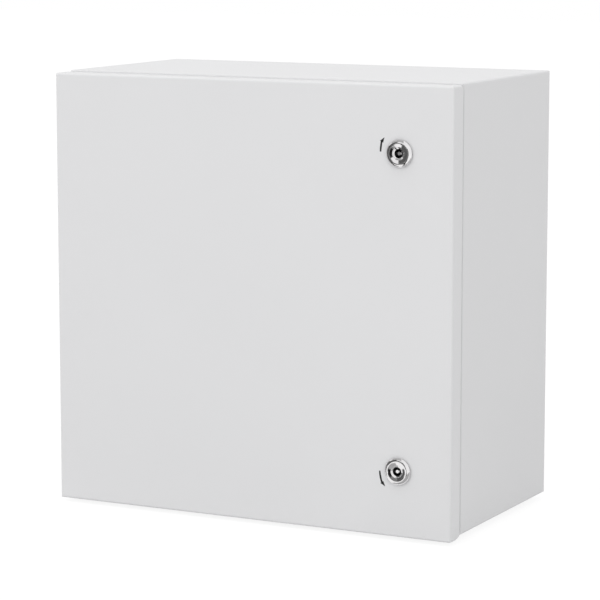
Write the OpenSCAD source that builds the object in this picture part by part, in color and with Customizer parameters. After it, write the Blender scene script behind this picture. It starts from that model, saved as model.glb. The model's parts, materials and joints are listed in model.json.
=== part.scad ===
// Steel wall enclosure: a folded sheet body, a door on two concealed gooseneck hinges,
// two cam locks, a mounting plate on studs and a gland plate in the floor.
// The origin is the middle of the four wall holes, on the rear face.
// +X is right as seen from the front, +Z is up, and the front faces -Y.

/* [Body] */
// Width of the body
body_w = 600; // [500:10:1000]
// Height of the body
body_h = 600; // [500:10:1200]
// Depth of the body from the wall to its front rim
body_d = 300; // [200:10:500]
// Sheet thickness of the body
body_t = 1.5; // [1.2:0.1:2.5]
// Outer radius of the body's folds
body_bend = 3; // [2.8:0.1:5]
// Outer radius of the rear edges
rear_bend = 6; // [4:0.5:12]
// Width of the front rim, from the side of the body to the lip
rim_w = 35.5; // [34:0.5:50]
// Inner corner radius of the mouth
mouth_r = 6; // [3:1:12]

/* [Wall mounting] */
// Distance of each wall hole from the edges of the body
wall_hole_inset = 25; // [20:1:35]
// Radius of the wall holes
wall_hole_r = 4.5; // [3:0.5:6]

/* [Door] */
// How far the door stands past each side of the body
door_side_over = 2; // [0:0.5:4]
// How far the door's top edge lies below the top of the body
door_top_under = 2; // [0:0.5:4]
// How far the door's bottom edge hangs below the body
door_bottom_over = 3; // [0:0.5:5]
// Sheet thickness of the door
door_t = 2; // [1.5:0.1:2.5]
// Outer radius of the door's folds
door_bend = 3; // [2.8:0.1:5]
// Depth of the door over its flanges
door_flange = 28; // [26:1:34]
// Gap between the door's flange and the body
door_gap = 7; // [7:0.5:10]
// Length along the edge of the cut at the flanges' lower corners
low_cut_len = 4.5; // [2:0.5:10]
// Depth of the cut at the flanges' lower corners
low_cut_deep = 12.5; // [4:0.5:16]
// Length along the edge of the cut at the flanges' upper corners
high_cut_len = 2.5; // [2:0.5:10]
// Depth of the cut at the flanges' upper corners
high_cut_deep = 4; // [2:0.5:16]

/* [Door gasket] */
// Width of the foamed gasket
gasket_w = 14; // [8:1:14]
// Height of the foamed gasket
gasket_t = 8.7; // [6:0.1:10]
// Clearance between the gasket and the lip of the body
gasket_gap = 0.3; // [0.3:0.1:1]

/* [Door rails] */
// Width of each perforated rail
rail_w = 12; // [10:1:14]
// Depth of each perforated rail
rail_deep = 17; // [12:1:20]
// Sheet thickness of the rails
rail_t = 1.5; // [1:0.1:2]
// Gap between a rail and the gasket
rail_gap = 1.75; // [1:0.25:3]
// Distance of the rail ends from the mouth of the body
rail_end_gap = 23; // [15:1:60]
// Pitch of the rail's perforation
rail_pitch = 25; // [20:1:50]
// Radius of the round holes in the rail
rail_hole_r = 2.75; // [1.5:0.25:3.5]
// Length of the slots in the rail's inner leg
rail_slot_len = 12; // [6:1:16]
// Height of the slots in the rail's inner leg
rail_slot_h = 6; // [3:0.5:8]

/* [Hinges] */
// Distance of each hinge from the top or bottom edge of the door
hinge_end = 100; // [75:5:160]
// Radius of the hinge pins
pin_r = 3; // [2:0.25:3.5]
// Running clearance of the pin in the gooseneck
pin_fit = 0.05; // [0.02:0.01:0.1]
// Radius of the knuckles
knuckle_r = 5.5; // [5:0.25:6]
// Clearance between a knuckle and the inside of the door's flange
knuckle_gap = 0.5; // [0.3:0.1:1]
// How far the pin lies in front of the rear edge of the door's flange
pin_forward = 11; // [10:0.5:12]
// Thickness of the gooseneck's arm
arm_t = 7; // [5:0.5:7.5]
// Half the height of the gooseneck's arm
arm_half = 14; // [10:1:20]
// How far the rear of the arm lies in front of the pin's axis
arm_offset = 1.5; // [1.5:0.1:2]
// Clearance between the gooseneck and the swing of the door's flange
swing_gap = 0.9; // [0.8:0.1:2]
// Thickness of the gooseneck's foot
foot_t = 3; // [2:0.5:3.5]
// Half the height of the gooseneck's foot
foot_half = 32; // [30:1:45]
// Half the width of the gooseneck's foot
foot_half_w = 12; // [10:0.5:12.5]
// End clearance between the gooseneck and each ear of the leaf
ear_gap = 0.3; // [0.3:0.1:1]
// Thickness of each ear of the leaf
ear_t = 8; // [5:0.5:12]
// Thickness of the leaf's plate on the door
leaf_t = 2; // [1.5:0.1:3]
// Width of the leaf's plate on the door
leaf_w = 23; // [20:0.5:24]
// Distance of the foot's screws from the middle of the hinge
foot_screw_z = 23; // [21:0.5:25]
// Radius of the foot's screws
foot_screw_r = 2.5; // [2:0.25:3]

/* [Locks] */
// Distance of the lock axes from the right edge of the door
lock_side = 77; // [74:1:100]
// Distance of the lock axes from the top and bottom edges of the door
lock_end = 89.5; // [75:0.5:180]
// Outer diameter of the lock's face
lock_face_d = 37; // [32:1:40]
// How far the lock's face stands off the door
lock_face_t = 5.5; // [5:0.5:7]
// Radius of the rounded rim of the lock's face
lock_rim_r = 5.6; // [4:0.1:6]
// Inner radius of the dish in the lock's face
dish_r = 8.8; // [8.7:0.1:11]
// Tilt of the dish in the lock's face, in degrees
dish_tilt = 13; // [5:1:20]
// Thickness of the seal under the lock's face
lock_seal_t = 0.8; // [0.5:0.1:1.2]
// Radius of the lock's barrel
barrel_r = 11; // [10.5:0.25:11.5]
// Clearance of the barrel in the door
barrel_gap = 0.2; // [0.1:0.1:0.5]
// Depth of the barrel behind the door's front face
barrel_deep = 22; // [18:1:24]
// Width over the flats of the lock's nut
lock_nut_af = 27; // [26:1:28]
// Thickness of the lock's nut
lock_nut_t = 5; // [3:0.5:8]
// Radius of the turning insert
insert_r = 8; // [7:0.25:8.5]
// Running clearance of the insert in the barrel
insert_fit = 0.08; // [0.02:0.01:0.1]
// Radius of the insert's neck
neck_r = 5.4; // [5.3:0.1:6]
// End clearance of the insert at the barrel's shoulder
insert_end_gap = 0.3; // [0.3:0.1:0.6]
// Radius of the recess for the key
key_recess_r = 6.2; // [5.5:0.1:6.4]
// Depth of the recess for the key
key_recess_deep = 11; // [6:0.5:13]
// Radius of the pin in the recess
key_pin_r = 2.2; // [1.5:0.1:3]
// Width over the two wings on the pin
key_wing_w = 9.6; // [7:0.2:11]
// Thickness of the wings on the pin
key_wing_t = 2.8; // [2:0.1:3.5]

/* [Cams] */
// Length of each cam from the lock axis
cam_len = 47; // [46:1:60]
// Width of each cam
cam_w = 16; // [12:1:20]
// Thickness of each cam
cam_t = 3; // [2:0.5:4]
// Clearance between a closed cam and the back of the rim
cam_gap = 2.5; // [2:0.1:3]
// Width of the square that drives the cam
cam_square = 7.4; // [6:0.2:7.4]
// Radius of the cam screw
cam_screw_r = 2.5; // [2:0.25:3]

/* [Mounting plate] */
// Distance from the mouth's edges to the mounting plate's edges
plate_inset = 3; // [2:1:20]
// Thickness of the mounting plate
plate_t = 2.5; // [2:0.5:4]
// Corner radius of the mounting plate
plate_corner_r = 5; // [2:1:10]
// Distance of the stud holes from the plate's edges
stud_inset = 15; // [12:1:25]
// Radius of the studs' thread
stud_r = 4; // [3:0.5:4]
// Radius of the studs' shoulder
shoulder_r = 7; // [5:0.5:8]
// Height of the mounting plate off the rear wall
standoff = 18.5; // [15:0.5:40]
// Thread length in front of the mounting plate
stud_free = 14; // [12:1:30]
// Clearance of the studs in the plate's holes
stud_gap = 0.5; // [0.2:0.1:1]

/* [Gland plate] */
// Width of the cut-out in the floor
gland_w = 400; // [200:10:450]
// Depth of the cut-out in the floor
gland_d = 150; // [60:5:220]
// Overlap of the gland plate round the cut-out
gland_lap = 15; // [13:1:20]
// Thickness of the gland plate
gland_t = 2; // [1.5:0.1:3]
// Thickness of the gland plate's gasket
gland_gasket_t = 1.5; // [1:0.1:3]
// Distance of the screws from the cut-out
gland_screw_out = 7.5; // [7:0.5:8]
// Radius of the gland plate's screws
gland_screw_r = 3; // [2:0.25:3]

/* [Earth studs] */
// Distance of the body's earth stud from the side of the body
earth_side = 60; // [45:5:150]
// Height of the body's earth stud above the body's lower edge
earth_z = 20; // [16:1:22]
// Distance of the door's earth stud from the side of the mouth
door_earth_side = 48; // [36:2:80]
// Distance of the door's earth stud from the lower edge of the mouth
door_earth_end = 26; // [22:2:80]
// Free length of the earth studs
earth_len = 22; // [16:1:30]

/* [Hidden] */
$fn = 64;

paint = [0.85, 0.85, 0.86];
zinc = [0.72, 0.74, 0.77];
bright = [0.86, 0.87, 0.89];
foam = [0.16, 0.16, 0.17];

cut = 1; // how far a cutting shape runs past the face it opens

// Door, a little wider than the body and hanging a little low
door_w = body_w + 2 * door_side_over;
door_h = body_h - door_top_under + door_bottom_over;
door_drop = (door_top_under + door_bottom_over) / 2;

// Planes of the body and the door, as distances in front of the wall
rim_back = body_d - body_t;
flange_rear = body_d + door_gap;
door_front = flange_rear + door_flange;
door_inside = door_front - door_t;
lip_front = door_inside - gasket_t - gasket_gap;

// Mouth of the body
mouth_w = body_w - 2 * rim_w - 2 * body_t;
mouth_h = body_h - 2 * rim_w - 2 * body_t;

// Gasket, centred on the lip
gasket_mid_w = mouth_w + body_t;
gasket_mid_h = mouth_h + body_t;

// Rails on the door
rail_outer_x = (gasket_mid_w - gasket_w) / 2 - rail_gap;
rail_half = mouth_h / 2 - rail_end_gap;
rail_holes = floor((rail_half - rail_slot_len) / rail_pitch);

// Hinge axis and gooseneck
pin_x = -(door_w / 2 - door_t - knuckle_gap - knuckle_r);
pin_y = -(flange_rear + pin_forward);
swing_r = norm([pin_x + door_w / 2, pin_forward]);
root_x = pin_x + swing_r + swing_gap;
arm_rear = pin_y - arm_offset;
arm_front = arm_rear - arm_t;
foot_x = root_x + arm_t / 2 - 2;
ear_base = arm_half + ear_gap;
leaf_x = -(door_w / 2 - door_bend);
foot_head_r = foot_screw_r * 1.7;
foot_head_t = foot_screw_r * 1.1;

// Height of the upper hinge when s is 1, and of the lower one when s is -1
function hinge_z(s) = s * (door_h / 2 - hinge_end) - door_drop;

// Lock axis, and distances behind the door's front face
lock_x = door_w / 2 - lock_side;
lock_high = door_h / 2 - lock_end - door_drop;
lock_low = -door_h / 2 + lock_end - door_drop;
barrel_floor_t = 3;
neck_end = barrel_deep + 2.2;
cam_hub_y = -(door_front - neck_end);
cam_tip_y = -(rim_back - cam_gap);
cam_hub_r = 9;
cam_bend_in = 13;
cam_bend_out = 23;
cam_washer_t = 1.5;
cam_washer_r = 7;
cam_head_af = 10;
cam_head_t = 4;
cam_thread_len = 8;
face_r = lock_face_d / 2;
face_edge = 0.5; // chamfer at the back of the face's edge
rim_out = 60; // slope at which the rounded rim ends at the face's edge, in degrees
rim_step = 5; // degrees between the points of the rim's curve
face_rim_mid = lock_face_t - lock_rim_r;
face_crest_r = face_r - lock_rim_r * sin(rim_out);
dish_top_r = face_crest_r - lock_rim_r * sin(dish_tilt);
dish_top = face_rim_mid + lock_rim_r * cos(dish_tilt);
dish_low = dish_top - (dish_top_r - dish_r) * tan(dish_tilt);
dish_step = 0.4; // how far the insert's face lies below the dish's inner edge
key_mouth_w = 1.5; // width of the cone round the key recess
key_mouth_t = 0.8; // depth of that cone

// Mounting plate and its studs
plate_w = mouth_w - 2 * plate_inset;
plate_h = mouth_h - 2 * plate_inset;
stud_x = plate_w / 2 - stud_inset;
stud_z = plate_h / 2 - stud_inset;
plate_back = body_t + standoff;
plate_front = plate_back + plate_t;
nut_af = stud_r * 3.25;
nut_t = stud_r * 1.6;
washer_r = stud_r * 2.1;
washer_t = 1.6;

// Gland plate
gland_y = -body_d / 2;
gland_top = -body_h / 2;
gland_head_af = gland_screw_r * 10 / 3;
gland_head_t = gland_screw_r * 4 / 3;
gland_nut_t = gland_screw_r * 5 / 3;

// Rectangle w by h round the middle, with corner radius r
module rounded_rect(w, h, r) {
    square([w - 2 * r, h], center = true);
    square([w, h - 2 * r], center = true);
    for (sx = [-1, 1], sy = [-1, 1])
        translate([sx * (w / 2 - r), sy * (h / 2 - r)]) circle(r);
}

// Rectangle w wide from y = -d to 0, with its own radii at the front (-d) and at the rear (0)
module fold_outline(w, d, r_front, r_rear) {
    translate([-w / 2, -d + r_front]) square([w, d - r_front - r_rear]);
    translate([-w / 2 + r_front, -d]) square([w - 2 * r_front, r_front]);
    if (r_rear > 0)
        translate([-w / 2 + r_rear, -r_rear]) square([w - 2 * r_rear, r_rear]);
    for (s = [-1, 1]) {
        translate([s * (w / 2 - r_front), -d + r_front]) circle(r_front);
        if (r_rear > 0) translate([s * (w / 2 - r_rear), -r_rear]) circle(r_rear);
    }
}

// A flat shape in X and Z, carried from y0 to y1
module along_y(y0, y1) {
    translate([0, y1, 0]) rotate([90, 0, 0]) linear_extrude(y1 - y0) children();
}

// A flat shape in X and Y, carried from z0 to z1
module along_z(z0, z1) {
    translate([0, 0, z0]) linear_extrude(z1 - z0) children();
}

// A flat shape in Y and Z, carried from x0 to x1
module along_x(x0, x1) {
    translate([x0, 0, 0]) rotate([90, 0, 90]) linear_extrude(x1 - x0) children();
}

// A round bar along Y
module bar_y(x, z, y0, y1, r) {
    translate([x, y1, z]) rotate([90, 0, 0]) cylinder(r = r, h = y1 - y0);
}

// A hexagon prism along Y
module hex_y(x, z, y0, y1, af) {
    translate([x, y1, z]) rotate([90, 0, 0]) cylinder(r = af / sqrt(3), h = y1 - y0, $fn = 6);
}

// A folded box w by h by d whose front face is at -d and whose rear face is at 0
module folded_box(w, h, d, edge_r, front_r, rear_r) {
    intersection() {
        along_y(-d, 0) rounded_rect(w, h, edge_r);
        along_z(-h / 2 - cut, h / 2 + cut) fold_outline(w, d, front_r, rear_r);
        along_x(-w / 2 - cut, w / 2 + cut) rotate(-90) mirror([1, 0]) fold_outline(h, d, front_r, rear_r);
    }
}

// ---- Body ----

module wall_hole_places() {
    for (sx = [-1, 1], sz = [-1, 1])
        translate([sx * (body_w / 2 - wall_hole_inset), 0, sz * (body_h / 2 - wall_hole_inset)]) children();
}

module gland_screw_places() {
    half_x = gland_w / 2 + gland_screw_out;
    half_y = gland_d / 2 + gland_screw_out;
    for (sx = [-1, 0, 1], sy = [-1, 1])
        translate([sx * half_x, gland_y + sy * half_y, gland_top]) children();
    for (sx = [-1, 1])
        translate([sx * half_x, gland_y, gland_top]) children();
}

module body_shell() {
    color(paint) difference() {
        union() {
            difference() {
                folded_box(body_w, body_h, body_d, body_bend, body_bend, rear_bend);
                translate([0, -body_t, 0])
                    folded_box(body_w - 2 * body_t, body_h - 2 * body_t, body_d - 2 * body_t,
                        body_bend - body_t, body_bend - body_t, rear_bend - body_t);
            }
            along_y(-lip_front, -rim_back)
                rounded_rect(mouth_w + 2 * body_t, mouth_h + 2 * body_t, mouth_r + body_t);
        }
        along_y(-lip_front - cut, -rim_back + cut) rounded_rect(mouth_w, mouth_h, mouth_r);
        wall_hole_places() bar_y(0, 0, -body_t - cut, cut, wall_hole_r);
        translate([-gland_w / 2, gland_y - gland_d / 2, gland_top - cut])
            cube([gland_w, gland_d, body_t + 2 * cut]);
        gland_screw_places() translate([0, 0, -cut]) cylinder(r = gland_screw_r, h = body_t + 2 * cut);
        for (s = [-1, 1], t = [-1, 1])
            bar_y(foot_x, hinge_z(s) + t * foot_screw_z,
                -body_d - cut, -rim_back + cut, foot_screw_r);
    }
}

// Flat plate under the floor's cut-out, with a hole for each screw
module gland_sheet(z_top, t, open) {
    difference() {
        translate([-gland_w / 2 - gland_lap, gland_y - gland_d / 2 - gland_lap, z_top - t])
            cube([gland_w + 2 * gland_lap, gland_d + 2 * gland_lap, t]);
        if (open)
            translate([-gland_w / 2, gland_y - gland_d / 2, z_top - t - cut]) cube([gland_w, gland_d, t + 2 * cut]);
        gland_screw_places()
            translate([0, 0, z_top - gland_top - t - cut]) cylinder(r = gland_screw_r, h = t + 2 * cut);
    }
}

module gland_gasket() {
    color(foam) gland_sheet(gland_top, gland_gasket_t, true);
}

module gland_plate() {
    color(paint) gland_sheet(gland_top - gland_gasket_t, gland_t, false);
}

module gland_screws() {
    head_top = -gland_gasket_t - gland_t;
    color(zinc) gland_screw_places() {
        translate([0, 0, head_top - gland_head_t])
            cylinder(r = gland_head_af / sqrt(3), h = gland_head_t, $fn = 6);
        translate([0, 0, head_top]) cylinder(r = gland_screw_r, h = body_t + gland_nut_t + 1 - head_top);
    }
}

module gland_nuts() {
    color(zinc) gland_screw_places() translate([0, 0, body_t]) difference() {
        cylinder(r = gland_head_af / sqrt(3), h = gland_nut_t, $fn = 6);
        translate([0, 0, -cut]) cylinder(r = gland_screw_r, h = gland_nut_t + 2 * cut);
    }
}

// ---- Mounting plate ----

module stud_places() {
    for (sx = [-1, 1], sz = [-1, 1]) translate([sx * stud_x, 0, sz * stud_z]) children();
}

module panel_studs() {
    color(zinc) stud_places() {
        bar_y(0, 0, -plate_back, -body_t, shoulder_r);
        bar_y(0, 0, -plate_front - stud_free, -plate_back, stud_r);
    }
}

module mounting_plate() {
    color(zinc) difference() {
        along_y(-plate_front, -plate_back) rounded_rect(plate_w, plate_h, plate_corner_r);
        stud_places() bar_y(0, 0, -plate_front - cut, -plate_back + cut, stud_r + stud_gap);
    }
}

module panel_washers() {
    color(zinc) stud_places() difference() {
        bar_y(0, 0, -plate_front - washer_t, -plate_front, washer_r);
        bar_y(0, 0, -plate_front - washer_t - cut, -plate_front + cut, stud_r);
    }
}

module panel_nuts() {
    seat = plate_front + washer_t;
    color(zinc) stud_places() difference() {
        hex_y(0, 0, -seat - nut_t, -seat, nut_af);
        bar_y(0, 0, -seat - nut_t - cut, -seat + cut, stud_r);
    }
}

// ---- Earth studs: a collar welded to the sheet, a thread and a nut ----

module earth_stud(y_seat, len) {
    bar_y(0, 0, y_seat - 2, y_seat, stud_r * 1.5);
    bar_y(0, 0, y_seat - len, y_seat - 2, stud_r);
}

module earth_nut(y_seat) {
    difference() {
        hex_y(0, 0, y_seat - 2 - nut_t, y_seat - 2, nut_af);
        bar_y(0, 0, y_seat - 2 - nut_t - cut, y_seat - 2 + cut, stud_r);
    }
}

module on_body_earth() {
    translate([-body_w / 2 + earth_side, 0, -body_h / 2 + earth_z]) children();
}

// The door's stud points to the rear
module on_door_earth() {
    translate([-mouth_w / 2 + door_earth_side, -door_inside, -mouth_h / 2 + door_earth_end])
        rotate(180) children();
}

module earth_stud_body() {
    color(zinc) on_body_earth() earth_stud(-body_t, earth_len);
}

module earth_nut_body() {
    color(zinc) on_body_earth() earth_nut(-body_t);
}

module earth_stud_door() {
    color(zinc) on_door_earth() earth_stud(0, earth_len);
}

module earth_nut_door() {
    color(zinc) on_door_earth() earth_nut(0);
}

// ---- Hinges ----

module on_hinge(s) {
    translate([0, 0, hinge_z(s)]) children();
}

// Gooseneck seen from above: knuckle, arm across to the root, root down to the foot
module gooseneck_outline() {
    outer_r = arm_t + 1;
    bend_x = root_x + arm_t - outer_r;
    bend_y = arm_front + outer_r;
    translate([pin_x, pin_y]) circle(knuckle_r);
    translate([pin_x, arm_front]) square([bend_x - pin_x, arm_t]);
    translate([root_x, bend_y]) square([arm_t, -body_d - foot_t - bend_y + foot_t / 2]);
    intersection() {
        translate([bend_x, bend_y]) difference() {
            circle(outer_r);
            circle(outer_r - arm_t);
        }
        translate([bend_x, bend_y - outer_r - cut]) square([outer_r + cut, outer_r + cut]);
    }
}

module hinge_bracket(s) {
    color(bright) on_hinge(s) difference() {
        union() {
            along_z(-arm_half, arm_half) gooseneck_outline();
            translate([foot_x - foot_half_w, -body_d - foot_t, -foot_half])
                cube([2 * foot_half_w, foot_t, 2 * foot_half]);
        }
        translate([pin_x, pin_y, -arm_half - cut]) cylinder(r = pin_r + pin_fit, h = 2 * arm_half + 2 * cut);
        for (t = [-1, 1])
            bar_y(foot_x, t * foot_screw_z, -body_d - foot_t - cut, -body_d + cut, foot_screw_r);
    }
}

module hinge_bracket_upper() {
    hinge_bracket(1);
}

module hinge_bracket_lower() {
    hinge_bracket(-1);
}

module hinge_screws() {
    head_y = -body_d - foot_t;
    color(zinc) for (s = [-1, 1], t = [-1, 1]) on_hinge(s) {
        bar_y(foot_x, t * foot_screw_z, head_y - foot_head_t, head_y, foot_head_r);
        bar_y(foot_x, t * foot_screw_z, head_y, -rim_back + 6, foot_screw_r);
    }
}

// Ear of the leaf seen from above: knuckle and a neck that widens to the plate
module ear_outline() {
    plate_y = -door_inside;
    translate([pin_x, pin_y]) circle(knuckle_r);
    polygon([
        [pin_x - knuckle_r, pin_y],
        [pin_x + knuckle_r, pin_y],
        [leaf_x + leaf_w - 4, plate_y + leaf_t],
        [leaf_x + leaf_w - 4, plate_y],
        [leaf_x, plate_y]
    ]);
}

module hinge_leaf(s) {
    color(bright) on_hinge(s) difference() {
        union() {
            translate([leaf_x, -door_inside, -ear_base - ear_t]) cube([leaf_w, leaf_t, 2 * (ear_base + ear_t)]);
            along_z(ear_base, ear_base + ear_t) ear_outline();
            along_z(-ear_base - ear_t, -ear_base) ear_outline();
        }
        translate([pin_x, pin_y, -ear_base - ear_t - cut])
            cylinder(r = pin_r, h = 2 * (ear_base + ear_t + cut));
    }
}

module hinge_leaf_upper() {
    hinge_leaf(1);
}

module hinge_leaf_lower() {
    hinge_leaf(-1);
}

module hinge_pin(s) {
    half = ear_base + ear_t;
    color(zinc) on_hinge(s) translate([pin_x, pin_y, 0]) {
        translate([0, 0, -half - 2]) cylinder(r = pin_r, h = 2 * half + 2);
        translate([0, 0, half]) cylinder(r = pin_r + 1.2, h = 2);
    }
}

module hinge_pin_upper() {
    hinge_pin(1);
}

module hinge_pin_lower() {
    hinge_pin(-1);
}

// ---- Door ----

module on_door() {
    translate([0, 0, -door_drop]) children();
}

// Wedge that takes the corner off a flange's rear edge, for a flange that ends at u
module flange_cut(u, len, deep) {
    polygon([
        [u - len, -flange_rear + cut],
        [u - len, -flange_rear],
        [u, -flange_rear - deep],
        [u + cut, -flange_rear - deep],
        [u + cut, -flange_rear + cut]
    ]);
}

// Cuts of the two flanges that meet at the right-hand end of an upper edge
module corner_cuts(len, deep) {
    along_z(door_h / 2 - door_t, door_h / 2 + cut) flange_cut(door_w / 2, len, deep);
    along_x(door_w / 2 - door_t, door_w / 2 + cut)
        rotate(90) mirror([0, 1]) flange_cut(door_h / 2, len, deep);
}

module door_shell() {
    inner_w = door_w - 2 * door_t;
    inner_h = door_h - 2 * door_t;
    color(paint) difference() {
        on_door() difference() {
            translate([0, -flange_rear, 0])
                folded_box(door_w, door_h, door_flange, door_bend, door_bend, 0);
            translate([0, -flange_rear + door_flange, 0])
                folded_box(inner_w, inner_h, 2 * door_flange - door_t,
                    door_bend - door_t, door_bend - door_t, 0);
            for (side = [0, 1]) mirror([side, 0, 0]) {
                corner_cuts(high_cut_len, high_cut_deep);
                mirror([0, 0, 1]) corner_cuts(low_cut_len, low_cut_deep);
            }
        }
        for (z = [lock_high, lock_low])
            bar_y(lock_x, z, -door_front - cut, -door_inside + cut, barrel_r + barrel_gap);
    }
}

module door_gasket() {
    outer_w = gasket_mid_w + gasket_w;
    outer_h = gasket_mid_h + gasket_w;
    back = -door_inside + gasket_t;
    color(foam) difference() {
        along_y(-door_inside, back) rounded_rect(outer_w, outer_h, mouth_r + gasket_w / 2);
        along_y(-door_inside - cut, back + cut)
            rounded_rect(outer_w - 2 * gasket_w, outer_h - 2 * gasket_w, max(mouth_r - gasket_w / 2, 1));
    }
}

// Channel with its legs on the door, round holes in its web and slots in its inner leg
module door_rail() {
    back = -door_inside + rail_deep;
    color(zinc) difference() {
        translate([rail_outer_x - rail_w, -door_inside, -rail_half]) cube([rail_w, rail_deep, 2 * rail_half]);
        translate([rail_outer_x - rail_w + rail_t, -door_inside - cut, -rail_half - cut])
            cube([rail_w - 2 * rail_t, rail_deep - rail_t + cut, 2 * rail_half + 2 * cut]);
        for (i = [-rail_holes:rail_holes]) {
            bar_y(rail_outer_x - rail_w / 2, i * rail_pitch, back - rail_t - cut, back + cut, rail_hole_r);
            translate([rail_outer_x - rail_w - cut, back - rail_deep / 2 - rail_slot_h / 2,
                i * rail_pitch - rail_slot_len / 2])
                cube([rail_t + 2 * cut, rail_slot_h, rail_slot_len]);
        }
    }
}

module door_rail_right() {
    door_rail();
}

module door_rail_left() {
    mirror([1, 0, 0]) door_rail();
}

// ---- Locks ----

// Turns a profile of radius and height, with its height pointing out of the door at the lock
module at_lock(z) {
    translate([lock_x, -door_front, z]) rotate([90, 0, 0]) children();
}

// Half profile of the lock's face and barrel; the face has a rounded rim and a conical dish
module housing_profile() {
    bore_r = insert_r + insert_fit;
    rim = [
        for (slope = [rim_out : -rim_step : 0])
            [face_crest_r + lock_rim_r * sin(slope), face_rim_mid + lock_rim_r * cos(slope)]
    ];
    polygon(concat([
        [bore_r, -barrel_deep + barrel_floor_t],
        [neck_r + insert_fit, -barrel_deep + barrel_floor_t],
        [neck_r + insert_fit, -barrel_deep],
        [barrel_r, -barrel_deep],
        [barrel_r, lock_seal_t],
        [face_r - face_edge, lock_seal_t],
        [face_r, lock_seal_t + face_edge]
    ], rim, [
        [face_crest_r - lock_rim_r * sin(dish_tilt / 2), face_rim_mid + lock_rim_r * cos(dish_tilt / 2)],
        [dish_top_r, dish_top],
        [dish_r, dish_low],
        [bore_r, dish_low - dish_step]
    ]));
}

module lock_housing(z) {
    color(bright) at_lock(z) rotate_extrude() housing_profile();
}

module lock_housing_top() {
    lock_housing(lock_high);
}

module lock_housing_bottom() {
    lock_housing(lock_low);
}

module lock_seal(z) {
    color(foam) at_lock(z) difference() {
        cylinder(r = lock_face_d / 2 - 0.8, h = lock_seal_t);
        translate([0, 0, -cut]) cylinder(r = barrel_r, h = lock_seal_t + 2 * cut);
    }
}

module lock_seal_top() {
    lock_seal(lock_high);
}

module lock_seal_bottom() {
    lock_seal(lock_low);
}

module lock_nut(z) {
    color(zinc) at_lock(z) translate([0, 0, -door_t - lock_nut_t]) difference() {
        cylinder(r = lock_nut_af / sqrt(3), h = lock_nut_t, $fn = 6);
        translate([0, 0, -cut]) cylinder(r = barrel_r, h = lock_nut_t + 2 * cut);
    }
}

module lock_nut_top() {
    lock_nut(lock_high);
}

module lock_nut_bottom() {
    lock_nut(lock_low);
}

// Insert with a key recess, a pin and two wings in front, a neck and a square behind
module lock_insert(z) {
    shoulder = -barrel_deep + barrel_floor_t + insert_end_gap;
    face = dish_low - dish_step;
    floor_h = face - key_recess_deep;
    end = -neck_end - cam_t;
    color(bright) at_lock(z) {
        difference() {
            union() {
                translate([0, 0, shoulder]) cylinder(r = insert_r, h = face - shoulder);
                translate([0, 0, -neck_end]) cylinder(r = neck_r, h = neck_end + shoulder);
                translate([-cam_square / 2, -cam_square / 2, end]) cube([cam_square, cam_square, cam_t]);
            }
            translate([0, 0, floor_h]) cylinder(r = key_recess_r, h = key_recess_deep + cut);
            translate([0, 0, face - key_mouth_t])
                cylinder(r1 = key_recess_r, r2 = key_recess_r + key_mouth_w, h = key_mouth_t);
            translate([0, 0, end - cut]) cylinder(r = cam_screw_r, h = cam_t + cam_thread_len + cut);
        }
        translate([0, 0, floor_h]) cylinder(r = key_pin_r, h = key_recess_deep - 2);
        translate([-key_wing_w / 2, -key_wing_t / 2, floor_h])
            cube([key_wing_w, key_wing_t, key_recess_deep - 3.5]);
    }
}

module lock_insert_top() {
    lock_insert(lock_high);
}

module lock_insert_bottom() {
    lock_insert(lock_low);
}

// Cranked cam seen from above its edge: hub on the square, slope, and tip behind the rim
module cam_profile() {
    slope_back = 1.2;
    hub_back = cam_hub_y + cam_t;
    tip_back = cam_tip_y + cam_t;
    polygon([
        [cam_hub_y, -cam_hub_r],
        [cam_hub_y, cam_bend_in],
        [cam_tip_y, cam_bend_out],
        [cam_tip_y, cam_len],
        [tip_back, cam_len],
        [tip_back, cam_bend_out - slope_back],
        [hub_back, cam_bend_in - slope_back],
        [hub_back, -cam_hub_r]
    ]);
}

// Cam that points up from its lock axis, or down when it is mirrored
module cam() {
    color(zinc) difference() {
        intersection() {
            along_x(-cam_w, cam_w) cam_profile();
            along_y(-door_front, 0) {
                circle(cam_hub_r);
                translate([-cam_w / 2, 0]) square([cam_w, cam_len - cam_w / 2]);
                translate([0, cam_len - cam_w / 2]) circle(cam_w / 2);
            }
        }
        translate([-cam_square / 2, cam_hub_y - cut, -cam_square / 2])
            cube([cam_square, cam_t + 2 * cut, cam_square]);
    }
}

module cam_top() {
    translate([lock_x, 0, lock_high]) mirror([0, 0, 1]) cam();
}

module cam_bottom() {
    translate([lock_x, 0, lock_low]) cam();
}

// Screw and washer that hold the cam on the insert's square
module cam_screw(z) {
    seat = -neck_end - cam_t;
    color(zinc) at_lock(z) {
        translate([0, 0, seat - cam_washer_t]) cylinder(r = cam_washer_r, h = cam_washer_t);
        translate([0, 0, seat - cam_washer_t - cam_head_t])
            cylinder(r = cam_head_af / sqrt(3), h = cam_head_t, $fn = 6);
        translate([0, 0, seat]) cylinder(r = cam_screw_r, h = cam_t + cam_thread_len);
    }
}

module cam_screw_top() {
    cam_screw(lock_high);
}

module cam_screw_bottom() {
    cam_screw(lock_low);
}

body_shell();
gland_gasket();
gland_plate();
gland_screws();
gland_nuts();
panel_studs();
mounting_plate();
panel_washers();
panel_nuts();
earth_stud_body();
earth_nut_body();
hinge_bracket_upper();
hinge_bracket_lower();
hinge_screws();
door_shell();
door_gasket();
door_rail_left();
door_rail_right();
hinge_leaf_upper();
hinge_leaf_lower();
hinge_pin_upper();
hinge_pin_lower();
earth_stud_door();
earth_nut_door();
lock_housing_top();
lock_housing_bottom();
lock_seal_top();
lock_seal_bottom();
lock_nut_top();
lock_nut_bottom();
lock_insert_top();
cam_top();
cam_screw_top();
lock_insert_bottom();
cam_bottom();
cam_screw_bottom();
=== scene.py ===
import json
import math

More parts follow.
